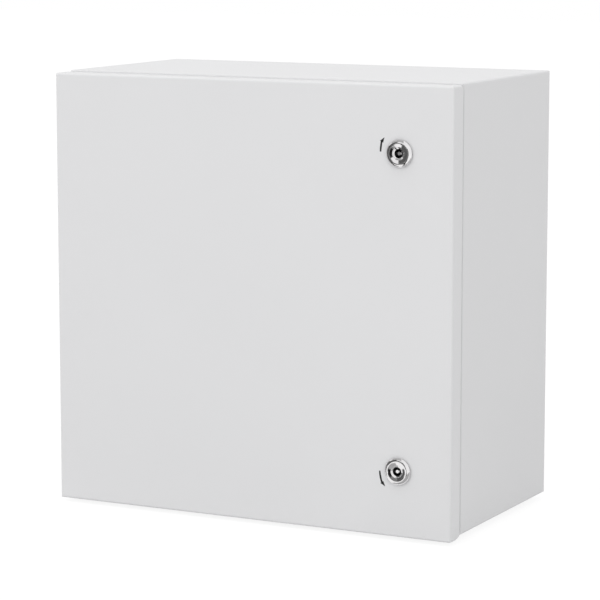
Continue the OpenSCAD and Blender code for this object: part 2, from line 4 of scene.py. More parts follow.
import bmesh
import bpy
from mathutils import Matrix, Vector

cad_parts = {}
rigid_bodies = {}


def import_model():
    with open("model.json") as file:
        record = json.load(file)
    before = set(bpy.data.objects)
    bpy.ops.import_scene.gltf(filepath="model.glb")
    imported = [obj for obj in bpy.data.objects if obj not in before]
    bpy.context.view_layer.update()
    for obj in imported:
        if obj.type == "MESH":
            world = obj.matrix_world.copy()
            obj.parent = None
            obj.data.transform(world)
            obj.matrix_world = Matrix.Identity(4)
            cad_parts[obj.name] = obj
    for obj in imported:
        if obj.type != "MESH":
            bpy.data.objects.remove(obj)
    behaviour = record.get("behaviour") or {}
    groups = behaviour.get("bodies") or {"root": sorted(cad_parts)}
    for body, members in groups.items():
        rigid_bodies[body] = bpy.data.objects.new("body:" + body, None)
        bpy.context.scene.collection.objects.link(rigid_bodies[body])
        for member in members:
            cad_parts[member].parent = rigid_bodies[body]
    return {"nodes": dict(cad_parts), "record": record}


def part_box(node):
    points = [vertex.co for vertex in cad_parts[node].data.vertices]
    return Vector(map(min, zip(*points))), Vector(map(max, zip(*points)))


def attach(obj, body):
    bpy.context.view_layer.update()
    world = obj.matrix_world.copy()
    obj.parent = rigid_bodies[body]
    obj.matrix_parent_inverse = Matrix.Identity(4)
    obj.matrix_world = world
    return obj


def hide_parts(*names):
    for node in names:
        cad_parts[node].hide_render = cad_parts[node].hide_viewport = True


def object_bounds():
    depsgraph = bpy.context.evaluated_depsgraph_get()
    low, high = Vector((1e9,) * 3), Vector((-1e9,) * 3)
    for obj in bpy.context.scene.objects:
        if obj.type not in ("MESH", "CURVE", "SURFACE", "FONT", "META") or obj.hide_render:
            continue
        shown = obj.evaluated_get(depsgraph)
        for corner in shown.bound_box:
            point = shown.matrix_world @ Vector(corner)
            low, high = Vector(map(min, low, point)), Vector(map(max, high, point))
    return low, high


for thing in list(bpy.data.objects):
    bpy.data.objects.remove(thing)

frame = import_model()
nodes = frame["nodes"]
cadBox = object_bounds()
mm = 0.001


# a wire carries one socket through plain sums, so that a material reads as arithmetic
class Wire:
    def __init__(self, finish, socket):
        self.finish = finish
        self.socket = socket

    def math(self, operation, first, second):
        return self.finish.math(operation, first, second)

    def __add__(self, other):
        return self.math("ADD", self, other)

    def __sub__(self, other):
        return self.math("SUBTRACT", self, other)

    def __mul__(self, other):
        return self.math("MULTIPLY", self, other)

    def __truediv__(self, other):
        return self.math("DIVIDE", self, other)

    def __pow__(self, other):
        return self.math("POWER", self, other)

    def __radd__(self, other):
        return self.math("ADD", other, self)

    def __rsub__(self, other):
        return self.math("SUBTRACT", other, self)

    def __rmul__(self, other):
        return self.math("MULTIPLY", other, self)

    def __rtruediv__(self, other):
        return self.math("DIVIDE", other, self)


class Outputs:
    def __init__(self, finish, node):
        self.finish = finish
        self.node = node

    def __getitem__(self, name):
        return Wire(self.finish, self.node.outputs[name])


class Finish:
    # one node tree, filled by add(type, settings, sockets)
    def __init__(self, tree):
        self.tree = tree
        tree.nodes.clear()

    def add(self, kind, settings=None, sockets=None):
        node = self.tree.nodes.new(kind)
        for name, value in (settings or {}).items():
            if name == "stops":
                ramp = node.color_ramp
                while len(ramp.elements) < len(value):
                    ramp.elements.new(1.0)
                for element, (place, colour) in zip(ramp.elements, value):
                    element.position = place
                    element.color = colour
            else:
                setattr(node, name, value)
        for name, value in (sockets or {}).items():
            if isinstance(value, Wire):
                self.tree.links.new(value.socket, node.inputs[name])
            else:
                node.inputs[name].default_value = value
        return Outputs(self, node)

    def math(self, operation, first, second):
        return self.add("ShaderNodeMath", {"operation": operation}, {0: first, 1: second})["Value"]

    def limit(self, value):
        return self.add("ShaderNodeClamp", None, {"Value": value, "Min": 0.0, "Max": 1.0})["Result"]

    def colourMix(self, factor, first, second, blend="MIX"):
        made = self.add("ShaderNodeMix", {"data_type": "RGBA", "blend_type": blend},
                        {0: factor, 6: first, 7: second})
        return made[2]

    def place(self):
        return self.add("ShaderNodeTexCoord")["Object"]

    def speckle(self, where, size, detail=3.0, rough=0.5):
        made = self.add("ShaderNodeTexNoise", {"noise_dimensions": "3D"},
                        {"Vector": where, "Scale": 1.0 / size, "Detail": detail, "Roughness": rough})
        return made["Fac"]

    def bump(self, height, strength, distance):
        made = self.add("ShaderNodeBump", None,
                        {"Height": height, "Strength": strength, "Distance": distance})
        return made["Normal"]

    def grey(self, value, tint=(1.0, 1.0, 1.0)):
        return (value * tint[0], value * tint[1], value * tint[2], 1.0)

    def surface(self, sockets):
        shader = self.add("ShaderNodeBsdfPrincipled", None, sockets)
        self.add("ShaderNodeOutputMaterial", None, {"Surface": shader["BSDF"]})


def newFinish(name):
    material = bpy.data.materials.new(name)
    material.use_nodes = True
    return material, Finish(material.node_tree)


def powderCoat():
    coat = {"colour": (0.705, 0.705, 0.713), "roughness": 0.46, "peel": 1.6 * mm, "grain": 0.35 * mm}
    material, f = newFinish("powderCoat")
    where = f.place()
    peel = f.speckle(where, coat["peel"], 2.0)
    grain = f.speckle(where, coat["grain"], 1.0)
    cloud = f.speckle(where, 130 * mm, 2.0)
    light = tuple(c * 1.012 for c in coat["colour"]) + (1.0,)
    dark = tuple(c * 0.988 for c in coat["colour"]) + (1.0,)
    f.surface({
        "Base Color": f.colourMix(cloud, dark, light),
        "Roughness": coat["roughness"] - 0.04 + peel * 0.08,
        "Normal": f.bump(peel * 0.7 + grain * 0.3, 0.12, 0.08 * mm),
    })
    return material


def galvanised():
    sheet = {"spangle": 9 * mm, "dark": 0.47, "light": 0.62}
    material, f = newFinish("galvanised")
    where = f.place()
    bend = f.speckle(where, 9 * mm, 2.0)
    warped = f.add("ShaderNodeVectorMath", {"operation": "MULTIPLY_ADD"},
                   {0: f.add("ShaderNodeTexNoise", None, {"Vector": where, "Scale": 90.0})["Color"],
                    1: (0.006, 0.006, 0.006), 2: where})["Vector"]
    cells = f.add("ShaderNodeTexVoronoi", {"feature": "F1"},
                  {"Vector": warped, "Scale": 1.0 / sheet["spangle"], "Randomness": 1.0})
    tone = f.add("ShaderNodeSeparateColor", None, {"Color": cells["Color"]})["Red"]
    grain = f.speckle(where, 1.1 * mm, 3.0)
    tint = (1.0, 1.01, 1.03)
    f.surface({
        "Base Color": f.colourMix(tone * 0.8 + bend * 0.2, f.grey(sheet["dark"], tint),
                                  f.grey(sheet["light"], tint)),
        "Metallic": 0.9,
        "Roughness": 0.36 + tone * 0.12 + grain * 0.06,
        "Normal": f.bump(grain + tone * 0.4, 0.12, 0.06 * mm),
    })
    return material


def zincPlate():
    material, f = newFinish("zincPlate")
    where = f.place()
    haze = f.speckle(where, 6 * mm, 3.0)
    scratch = f.speckle(where, 0.6 * mm, 2.0)
    f.surface({
        "Base Color": f.colourMix(haze, (0.62, 0.63, 0.65, 1.0), (0.76, 0.76, 0.74, 1.0)),
        "Metallic": 1.0,
        "Roughness": 0.24 + haze * 0.1 + scratch * 0.06,
        "Normal": f.bump(scratch, 0.1, 0.03 * mm),
    })
    return material


def castZinc():
    material, f = newFinish("castZinc")
    where = f.place()
    grain = f.speckle(where, 0.9 * mm, 4.0, 0.6)
    patch = f.speckle(where, 12 * mm, 2.0)
    f.surface({
        "Base Color": f.colourMix(patch, (0.5, 0.51, 0.53, 1.0), (0.62, 0.63, 0.64, 1.0)),
        "Metallic": 0.95,
        "Roughness": 0.38 + grain * 0.16,
        "Normal": f.bump(grain, 0.25, 0.06 * mm),
    })
    return material


def chrome():
    material, f = newFinish("chrome")
    where = f.place()
    smudge = f.speckle(where, 5 * mm, 3.0)
    f.surface({
        "Base Color": f.colourMix(smudge, (0.74, 0.73, 0.74, 1.0), (0.86, 0.85, 0.85, 1.0)),
        "Metallic": 1.0,
        "Roughness": 0.05 + smudge * 0.06,
        "Normal": f.bump(f.speckle(where, 1.5 * mm, 2.0), 0.05, 0.03 * mm),
    })
    return material


def recessChromePaintedShade(name, insert):
    # bright face and pin, with painted shade in the key recess between them: a dark, dull base colour stands
    # in for the shadow down in the recess
    recess = {"pin": 2.6 * mm, "wall": 7.0 * mm, "depth": 0.5 * mm, "fade": 1.6 * mm, "end": 16 * mm}
    material, f = newFinish(name)
    where = f.place()
    low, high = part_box(insert)
    axis = ((low.x + high.x) / 2, low.y, (low.z + high.z) / 2)
    offset = f.add("ShaderNodeVectorMath", {"operation": "SUBTRACT"}, {0: where, 1: axis})["Vector"]
    deep = f.add("ShaderNodeSeparateXYZ", None, {"Vector": offset})["Y"]
    flat = f.add("ShaderNodeVectorMath", {"operation": "MULTIPLY"}, {0: offset, 1: (1.0, 0.0, 1.0)})["Vector"]
    reach = f.add("ShaderNodeVectorMath", {"operation": "LENGTH"}, {0: flat})["Value"]
    sunk = f.limit((deep - recess["depth"]) / recess["fade"])
    ring = f.math("GREATER_THAN", reach, recess["pin"]) * f.math("LESS_THAN", deep, recess["end"])
    # painted shade: below the face and outside the pin, the base colour goes near-black, less metallic and
    # rougher, in place of the recess's shadow
    paintedShade = sunk * ring
    smudge = f.speckle(where, 5 * mm, 3.0)
    bright = f.colourMix(smudge, (0.74, 0.73, 0.74, 1.0), (0.86, 0.85, 0.85, 1.0))
    f.surface({
        "Base Color": f.colourMix(paintedShade, bright, (0.02, 0.02, 0.022, 1.0)),
        "Metallic": 1.0 - paintedShade * 0.6,
        "Roughness": 0.05 + smudge * 0.06 + paintedShade * 0.4,
    })
    return material


def foamRubber():
    material, f = newFinish("foamRubber")
    where = f.place()
    pores = f.add("ShaderNodeTexVoronoi", {"feature": "F1"},
                  {"Vector": where, "Scale": 1.0 / (1.1 * mm)})["Distance"]
    skin = f.speckle(where, 7 * mm, 3.0)
    f.surface({
        "Base Color": f.colourMix(skin, (0.028, 0.028, 0.03, 1.0), (0.05, 0.05, 0.053, 1.0)),
        "Roughness": 0.72 + skin * 0.14,
        "Normal": f.bump(pores + skin, 0.35, 0.15 * mm),
    })
    return material


def sealRubber():
    material, f = newFinish("sealRubber")
    where = f.place()
    grain = f.speckle(where, 0.8 * mm, 2.0)
    f.surface({
        "Base Color": f.colourMix(grain, (0.016, 0.016, 0.017, 1.0), (0.03, 0.03, 0.031, 1.0)),
        "Roughness": 0.55 + grain * 0.1,
        "Normal": f.bump(grain, 0.2, 0.05 * mm),
    })
    return material


def printInk():
    material, f = newFinish("printInk")
    where = f.place()
    grain = f.speckle(where, 0.5 * mm, 2.0)
    f.surface({
        "Base Color": f.colourMix(grain, (0.004, 0.004, 0.005, 1.0), (0.012, 0.012, 0.013, 1.0)),
        "Roughness": 0.6 + grain * 0.1,
        "Normal": f.bump(grain, 0.1, 0.02 * mm),
    })
    return material


finishes = {
    "paint": powderCoat(), "galvanised": galvanised(), "fastener": zincPlate(),
    "hinge_zinc": castZinc(), "lock_chrome": chrome(), "foam": foamRubber(), "seal": sealRubber(),
}
ink = printInk()
slotOf = {part["node"]: part["material_slot"] for part in frame["record"]["subparts"]}
print("finishes made:", len(finishes) + 1)


def coat(piece, material):
    piece.data.materials.clear()
    piece.data.materials.append(material)


for name, node in nodes.items():
    for slot in node.material_slots:
        slot.material = finishes[slotOf[name]]
for insert in ("lock_insert_top", "lock_insert_bottom"):
    coat(nodes[insert], recessChromePaintedShade(insert + "_chrome", insert))
print("frame parts finished:", len(nodes))


def meshPiece(name, bm, material, smoothAngle=35.0):
    mesh = bpy.data.meshes.new(name)
    bmesh.ops.recalc_face_normals(bm, faces=bm.faces)
    bm.to_mesh(mesh)
    bm.free()
    piece = bpy.data.objects.new(name, mesh)
    bpy.context.scene.collection.objects.link(piece)
    coat(piece, material)
    mesh.shade_smooth()
    mesh.set_sharp_from_angle(angle=math.radians(smoothAngle))
    return piece


def centreOf(name):
    low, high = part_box(name)
    return (low + high) / 2


def islands(name):
    # middles of the separate solids of one node, from its loose parts
    bm = bmesh.new()
    bm.from_mesh(nodes[name].data)
    bmesh.ops.remove_doubles(bm, verts=bm.verts, dist=0.01 * mm)
    seen = set()
    found = []
    for start in bm.verts:
        if start in seen:
            continue
        group, queue = [], [start]
        seen.add(start)
        while queue:
            vert = queue.pop()
            group.append(vert.co.copy())
            for edge in vert.link_edges:
                other = edge.other_vert(vert)
                if other not in seen:
                    seen.add(other)
                    queue.append(other)
        low = Vector(min(p[i] for p in group) for i in range(3))
        high = Vector(max(p[i] for p in group) for i in range(3))
        found.append((low, high))
    bm.free()
    return sorted(found, key=lambda pair: (round(pair[0].x, 4), round(pair[0].z, 4), round(pair[0].y, 4)))


class Recipe(Finish):
    # a Geometry Nodes tree with named inputs for its sizes; it works on a mesh of points
    def __init__(self, name, sizes):
        super().__init__(bpy.data.node_groups.new(name, "GeometryNodeTree"))
        kinds = {int: "NodeSocketInt", float: "NodeSocketFloat", tuple: "NodeSocketVector"}
        face = self.tree.interface
        face.new_socket("Places", in_out="INPUT", socket_type="NodeSocketGeometry")
        for label, value in sizes.items():
            face.new_socket(label, in_out="INPUT", socket_type=kinds[type(value)]).default_value = value
        face.new_socket("Turn", in_out="INPUT", socket_type="NodeSocketVector")
        face.new_socket("Finish", in_out="INPUT", socket_type="NodeSocketMaterial")
        face.new_socket("Shape", in_out="OUTPUT", socket_type="NodeSocketGeometry")
        self.sizes = self.add("NodeGroupInput")

    def round(self, radius, low, high, sides=32):
        # a plain round bar along Z
        height = high - low
        bar = self.add("GeometryNodeMeshCylinder", {"fill_type": "NGON"},
                       {"Vertices": sides, "Radius": radius, "Depth": height})["Mesh"]
        return self.lift(bar, (high + low) * 0.5)

    def lift(self, shape, height):
        move = self.add("ShaderNodeCombineXYZ", None, {"Z": height})["Vector"]
        return self.add("GeometryNodeTransform", None, {"Geometry": shape, "Translation": move})["Geometry"]

    def taper(self, lowRadius, highRadius, low, high, sides=32):
        cone = self.add("GeometryNodeMeshCone", {"fill_type": "NGON"},
                        {"Vertices": sides, "Radius Bottom": lowRadius, "Radius Top": highRadius,
                         "Depth": high - low})["Mesh"]
        return self.lift(cone, low)

    def join(self, *shapes):
        made = self.tree.nodes.new("GeometryNodeJoinGeometry")
        for shape in shapes:
            self.tree.links.new(shape.socket, made.inputs["Geometry"])
        return Outputs(self, made)["Geometry"]

    def boolean(self, operation, first, *others):
        made = self.tree.nodes.new("GeometryNodeMeshBoolean")
        made.operation = operation
        made.solver = "EXACT"
        if operation == "DIFFERENCE":
            self.tree.links.new(first.socket, made.inputs["Mesh 1"])
        else:
            self.tree.links.new(first.socket, made.inputs["Mesh 2"])
        for other in others:
            self.tree.links.new(other.socket, made.inputs["Mesh 2"])
        return Outputs(self, made)["Mesh"]

    def hexagon(self, across, low, high, chamferLow=False, chamferHigh=True):
        # hexagon bar with its corners turned off at 30 degrees
        height = high - low
        bar = self.add("GeometryNodeMeshCylinder", {"fill_type": "NGON"},
                       {"Vertices": 6, "Radius": across / math.sqrt(3), "Depth": height})["Mesh"]
        shape = self.lift(bar, (high + low) * 0.5)
        narrow = across * 0.475
        wide = narrow + height * 1.732
        past = 0.06 * mm  # the cutting cones reach past the bar, so that no faces coincide
        foot = wide + 0.1 * mm
        sides = 48
        if chamferHigh:
            cone = self.taper(foot, narrow, low - past, high, sides)
            shape = self.boolean("INTERSECT", shape, cone)
        if chamferLow:
            cone = self.taper(narrow, foot, low, high + past, sides)
            shape = self.boolean("INTERSECT", shape, cone)
        return shape

    def thread(self, radius, pitch, low, high):
        # core and one helical ridge, with a turned tip
        core = radius - pitch * 0.5
        rise = high - low - pitch * 2.0
        helix = self.add("GeometryNodeCurveSpiral", None,
                         {"Resolution": 20, "Rotations": rise / pitch, "Start Radius": core,
                          "End Radius": core, "Height": rise})["Curve"]
        lozenge = self.add("GeometryNodeCurvePrimitiveCircle", None,
                           {"Resolution": 4, "Radius": pitch * 0.5})["Curve"]
        ridge = self.add("GeometryNodeCurveToMesh", None,
                         {"Curve": helix, "Profile Curve": lozenge, "Fill Caps": True})["Mesh"]
        return self.join(self.lift(ridge, low + pitch * 0.6), self.round(core, low, high - pitch),
                         self.taper(core, core - pitch * 0.6, high - pitch, high))

    def finish(self, shape):
        copies = self.add("GeometryNodeInstanceOnPoints", None,
                          {"Points": self.sizes["Places"], "Instance": shape, "Rotation": self.sizes["Turn"]})
        whole = self.add("GeometryNodeRealizeInstances", None, {"Geometry": copies["Instances"]})["Geometry"]
        self.end(whole)

    def end(self, whole):
        painted = self.add("GeometryNodeSetMaterial", None,
                           {"Geometry": whole, "Material": self.sizes["Finish"]})["Geometry"]
        self.add("NodeGroupOutput", None, {"Shape": painted})


def makeFrom(recipe, name, places, sizes, material, turn=(0.0, 0.0, 0.0), smoothAngle=32.0):
    points = bpy.data.meshes.new(name + "Places")
    points.from_pydata([tuple(p) for p in places], [], [])
    holder = bpy.data.objects.new(name + "Places", points)
    bpy.context.scene.collection.objects.link(holder)
    live = holder.modifiers.new("shape", "NODES")
    live.node_group = recipe.tree
    values = dict(sizes, Turn=tuple(math.radians(a) for a in turn), Finish=material)
    for item in recipe.tree.interface.items_tree:
        if item.in_out == "INPUT" and item.name in values:
            live[item.identifier] = values[item.name]
    bpy.context.view_layer.update()
    evaluated = holder.evaluated_get(bpy.context.evaluated_depsgraph_get())
    mesh = bpy.data.meshes.new_from_object(evaluated, preserve_all_data_layers=False,
                                           depsgraph=bpy.context.evaluated_depsgraph_get())
    holder.modifiers.remove(live)
    bpy.data.objects.remove(holder)
    mesh.name = name
    facing = bmesh.new()
    facing.from_mesh(mesh)
    bmesh.ops.recalc_face_normals(facing, faces=facing.faces)
    facing.to_mesh(mesh)
    facing.free()
    mesh.materials.clear()
    mesh.materials.append(material)
    mesh.shade_smooth()
    mesh.set_sharp_from_angle(angle=math.radians(smoothAngle))
    piece = bpy.data.objects.new(name, mesh)
    bpy.context.scene.collection.objects.link(piece)
    return piece


def fit(piece, body, slot, *replaced):
    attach(piece, body)
    if replaced:
        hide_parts(*replaced)
    return piece


nutSizes = {"Across": 13.0 * mm, "Height": 6.4 * mm, "Bore": 4.0 * mm}
nutBores = {"panel_nuts": 4.0, "earth_nut_body": 4.0, "earth_nut_door": 4.0, "gland_nuts": 3.0,
            "lock_nut_top": 11.0, "lock_nut_bottom": 11.0}  # radius of each thread, in mm


def nutRecipe():
    r = Recipe("hexNut", nutSizes)
    across, height, bore = r.sizes["Across"], r.sizes["Height"], r.sizes["Bore"]
    blank = r.hexagon(across, 0.0, height, True, True)
    hole = r.round(bore, height * -0.5, height * 1.5, 40)
    r.finish(r.boolean("DIFFERENCE", blank, hole))
    return r


nut = nutRecipe()


def nutsOn(name, node, body, turn, axis, up):
    # one nut for each solid of the node; its seat is the face towards the sheet
    places, sizes = [], None
    for low, high in islands(node):
        middle = (low + high) / 2
        middle[axis] = low[axis] if up > 0 else high[axis]
        places.append(middle)
        flats = min((high[i] - low[i]) for i in range(3) if i != axis)
        sizes = {"Across": flats, "Height": high[axis] - low[axis]}
    sizes["Bore"] = nutBores[node] * mm
    piece = makeFrom(nut, name, places, sizes, finishes["fastener"], turn, 25.0)
    return fit(piece, body, "fastener", node)


nutsOn("plateNuts", "panel_nuts", "root", (90, 0, 0), 1, -1)
nutsOn("bodyEarthNut", "earth_nut_body", "root", (90, 0, 0), 1, -1)
nutsOn("doorEarthNut", "earth_nut_door", "door", (-90, 0, 0), 1, 1)
nutsOn("glandNuts", "gland_nuts", "root", (0, 0, 0), 2, 1)
nutsOn("lockNutTop", "lock_nut_top", "door", (-90, 0, 0), 1, 1)
nutsOn("lockNutBottom", "lock_nut_bottom", "door", (-90, 0, 0), 1, 1)
print("nuts made")


studSizes = {"Collar": 7.0 * mm, "CollarHeight": 18.5 * mm, "Thread": 4.0 * mm, "Pitch": 1.25 * mm,
             "Length": 35.0 * mm, "Bead": 0.9 * mm}


def studRecipe():
    r = Recipe("weldedStud", studSizes)
    s = r.sizes
    edge = s["Bead"] * 0.5
    collar = r.round(s["Collar"], 0.0, s["CollarHeight"] - edge)
    crown = r.taper(s["Collar"], s["Collar"] - edge, s["CollarHeight"] - edge, s["CollarHeight"])
    weld = r.taper(s["Collar"] + s["Bead"], s["Collar"], 0.0, s["Bead"])
    r.finish(r.join(collar, crown, weld, r.thread(s["Thread"], s["Pitch"], s["CollarHeight"], s["Length"])))
    return r


stud = studRecipe()


def studsOn(name, node, body, turn, up, collar, collarHeight):
    found = islands(node)
    places, length = [], 0.0
    for low, high in found:
        middle = (low + high) / 2
        middle.y = high.y if up < 0 else low.y
        places.append(middle)
        length = high.y - low.y
    sizes = {"Collar": collar * mm, "CollarHeight": collarHeight * mm, "Length": length}
    piece = makeFrom(stud, name, places, dict(studSizes, **sizes), finishes["fastener"], turn, 40.0)
    return fit(piece, body, "fastener", node)


studsOn("plateStuds", "panel_studs", "root", (90, 0, 0), -1, 7.0, 18.5)
studsOn("bodyEarthStud", "earth_stud_body", "root", (90, 0, 0), -1, 6.0, 2.0)
studsOn("doorEarthStud", "earth_stud_door", "door", (-90, 0, 0), 1, 6.0, 2.0)
print("studs made")


screwSizes = {"Across": 10.0 * mm, "Head": 4.0 * mm, "Flange": 6.6 * mm, "FlangeHeight": 1.0 * mm,
              "Thread": 3.0 * mm, "Pitch": 1.0 * mm, "Length": 14.0 * mm}


def screwRecipe():
    # origin under the head, head below, thread above
    r = Recipe("hexScrew", screwSizes)
    s = r.sizes
    head = r.hexagon(s["Across"], 0.0 - s["Head"], s["FlangeHeight"] * -0.5, True, False)
    flange = r.taper(s["Flange"] * 0.86, s["Flange"], s["FlangeHeight"] * -1.0, s["FlangeHeight"] * -0.4, 40)
    rim = r.round(s["Flange"], s["FlangeHeight"] * -0.4, 0.0, 40)
    r.finish(r.join(head, flange, rim, r.thread(s["Thread"], s["Pitch"], 0.0, s["Length"])))
    return r


screw = screwRecipe()
camScrewSizes = {"Across": 10.0 * mm, "Head": 5.5 * mm, "Flange": 7.0 * mm, "FlangeHeight": 1.5 * mm,
                 "Thread": 2.5 * mm, "Pitch": 0.8 * mm}


def glandScrews():
    low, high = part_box("gland_screws")
    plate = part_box("gland_plate")[0].z
    places = []
    for a, b in islands("gland_screws"):
        middle = (a + b) / 2
        middle.z = plate
        places.append(middle)
    sizes = dict(screwSizes, Head=plate - low.z, Length=high.z - plate)
    piece = makeFrom(screw, "glandScrews", places, sizes, finishes["fastener"])
    fit(piece, "root", "fastener", "gland_screws")


def camScrew(which, body):
    low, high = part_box("cam_screw_" + which)
    middle = (low + high) / 2
    hub = high.y - camScrewSizes["Head"]
    sizes = dict(camScrewSizes, Length=hub - low.y)
    piece = makeFrom(screw, "camScrew" + which.capitalize(), [(middle.x, hub, middle.z)], sizes,
                     finishes["fastener"], (90, 0, 0))
    fit(piece, body, "fastener", "cam_screw_" + which)


glandScrews()
camScrew("top", "lock_top")
camScrew("bottom", "lock_bottom")
print("hex screws made")


capSizes = {"Head": 4.25 * mm, "HeadHeight": 2.75 * mm, "Socket": 3.0 * mm, "Thread": 2.5 * mm,
            "Pitch": 0.8 * mm, "Length": 8.0 * mm}


def capRecipe():
    # low round head with a hexagon socket, head above, thread below
    r = Recipe("capScrew", capSizes)
    s = r.sizes
    soft = s["HeadHeight"] * 0.28
    blank = r.round(s["Head"], 0.0, s["HeadHeight"], 36)
    cone = r.taper(s["Head"] - soft + s["HeadHeight"] * 1.1, s["Head"] - soft - 0.01 * mm,
                   s["HeadHeight"] * -0.1, s["HeadHeight"] * 1.001, 36)
    cap = r.boolean("INTERSECT", blank, cone)
    socket = r.hexagon(s["Socket"], s["HeadHeight"] * 0.35, s["HeadHeight"] * 1.4, False, False)
    cap = r.boolean("DIFFERENCE", cap, socket)
    shank = r.round(s["Thread"], 0.0 - s["Length"], 0.0)
    r.finish(r.join(cap, shank))
    return r


def hingeScrews():
    low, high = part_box("hinge_screws")
    seat = low.y + capSizes["HeadHeight"]
    places = []
    for a, b in islands("hinge_screws"):
        middle = (a + b) / 2
        middle.y = seat
        places.append(middle)
    sizes = dict(capSizes, Length=high.y - seat)
    piece = makeFrom(capRecipe(), "hingeScrews", places, sizes, finishes["fastener"], (90, 0, 0))
    fit(piece, "root", "fastener", "hinge_screws")


hingeScrews()
print("hinge screws made")


beadSizes = {"Width": 524.5 * mm, "Height": 524.5 * mm, "Corner": 13.0 * mm,
             "BeadWidth": 14.0 * mm, "BeadHeight": 8.7 * mm, "Wave": 0.25 * mm}


def beadRecipe():
    # foamed bead: flat foot on the sheet and round shoulders, laid along a rounded frame
    r = Recipe("foamBead", beadSizes)
    s = r.sizes
    line = r.add("GeometryNodeCurvePrimitiveQuadrilateral", {"mode": "RECTANGLE"},
                 {"Width": s["Width"], "Height": s["Height"]})["Curve"]
    line = r.add("GeometryNodeFilletCurve", {"mode": "POLY"},
                 {"Curve": line, "Count": 12, "Radius": s["Corner"], "Limit Radius": True})["Curve"]
    line = r.add("GeometryNodeResampleCurve", {"mode": "LENGTH"},
                 {"Curve": line, "Length": 4.0 * mm})["Curve"]
    circle = r.add("GeometryNodeCurvePrimitiveCircle", None, {"Resolution": 32, "Radius": 1.0})["Curve"]
    spot = r.add("ShaderNodeSeparateXYZ", None, {"Vector": r.add("GeometryNodeInputPosition")["Position"]})
    side = r.math("SIGN", spot["X"], 0.0) * (r.math("ABSOLUTE", spot["X"], 0.0) ** 0.8)
    rise = r.math("MAXIMUM", spot["Y"], 0.0) ** 0.8
    section = r.add("ShaderNodeCombineXYZ", None,
                    {"X": side * s["BeadWidth"] * 0.5, "Y": rise * s["BeadHeight"] * -1.0})["Vector"]
    section = r.add("GeometryNodeSetPosition", None, {"Geometry": circle, "Position": section})["Geometry"]
    bead = r.add("GeometryNodeCurveToMesh", None, {"Curve": line, "Profile Curve": section})["Mesh"]
    where = r.add("GeometryNodeInputPosition")["Position"]
    wave = r.add("ShaderNodeTexNoise", None, {"Vector": where, "Scale": 28.0, "Detail": 2.0})["Fac"]
    outwards = r.add("GeometryNodeInputNormal")["Normal"]
    push = r.add("ShaderNodeVectorMath", {"operation": "SCALE"},
                 {"Vector": outwards, "Scale": (wave - 0.65) * s["Wave"]})["Vector"]
    bead = r.add("GeometryNodeSetPosition", None, {"Geometry": bead, "Offset": push})["Geometry"]
    r.finish(bead)
    return r


def doorGasket():
    low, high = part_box("door_gasket")
    width = beadSizes["BeadWidth"]
    sizes = dict(beadSizes, Width=high.x - low.x - width, Height=high.z - low.z - width,
                 BeadHeight=high.y - low.y)
    place = ((low.x + high.x) / 2, low.y, (low.z + high.z) / 2)
    piece = makeFrom(beadRecipe(), "doorGasket", [place], sizes, finishes["foam"], (-90, 0, 0), 60.0)
    fit(piece, "door", "foam", "door_gasket")


doorGasket()
print("door gasket made")


arrowSizes = {"spread": 2.2, "stroke": 2.7, "thick": 0.05, "headLong": 6.6, "headWide": 5.4}
arrows = {  # name: lock, radius in mm, angles of tail and tip in degrees
    "arrowTop": ("lock_housing_top", 27.8, 177.5, 137.5),
    "arrowBottom": ("lock_housing_bottom", 26.9, 183.7, 230.0),
}


def turningArrow(name, lock, radius, tail, tip):
    # flat arc about the lock axis from angle tail to angle tip, thin at the tail, with a small head
    a = arrowSizes
    middle = centreOf(lock)
    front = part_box("door_shell")[0].y
    away = 1 if tip > tail else -1
    headAngle = math.degrees(a["headLong"] / radius)
    steps = 24
    back = tip - away * headAngle
    inner, outer = [], []
    for i in range(steps + 1):
        share = i / steps
        angle = tail + (back - tail) * share
        half = a["stroke"] / 2 * (0.75 + 0.25 * min(1.0, share * 2.2))
        line = radius + a["spread"] * share * share
        inner.append((line - half, angle))
        outer.append((line + half, angle))
    end = radius + a["spread"]
    ring = outer + [(end + a["headWide"] / 2, back - away * 1.0), (end, tip),
                    (end - a["headWide"] / 2, back - away * 1.0)] + inner[::-1]
    bm = bmesh.new()
    verts = []
    for out, angle in ring:
        x = middle.x + out * mm * math.cos(math.radians(angle))
        z = middle.z + out * mm * math.sin(math.radians(angle))
        verts.append(bm.verts.new((x, front, z)))
    face = bm.faces.new(verts)
    grown = bmesh.ops.extrude_face_region(bm, geom=[face])
    for item in grown["geom"]:
        if isinstance(item, bmesh.types.BMVert):
            item.co.y -= a["thick"] * mm
    bmesh.ops.triangulate(bm, faces=[f for f in bm.faces if len(f.verts) > 4])
    piece = meshPiece(name, bm, ink)
    return fit(piece, "door", "seal")


for name, values in arrows.items():
    turningArrow(name, *values)
print("arrows made")


studio = {"sky": 0.92, "topPower": 20.0, "frontPower": 30.0, "sidePower": 4.0,
          "floorGrey": 0.16, "floorGlow": 0.88, "floorDrop": 1.0 * mm}


def seenDirectly(f):
    path = f.add("ShaderNodeLightPath")
    shown = f.math("MAXIMUM", path["Is Camera Ray"], path["Is Glossy Ray"])
    return f.math("MAXIMUM", shown, path["Is Transmission Ray"])


def sky():
    world = bpy.data.worlds.new("studioSky")
    world.use_nodes = True
    f = Finish(world.node_tree)
    white = f.add("ShaderNodeBackground", None,
                  {"Color": (1.0, 1.0, 1.0, 1.0), "Strength": 1.0})["Background"]
    level = f.add("ShaderNodeBackground", None,
                  {"Color": (1.0, 1.0, 1.0, 1.0), "Strength": studio["sky"]})["Background"]
    both = f.add("ShaderNodeMixShader", None, {0: seenDirectly(f), 1: level, 2: white})["Shader"]
    f.add("ShaderNodeOutputWorld", None, {"Surface": both})
    bpy.context.scene.world = world


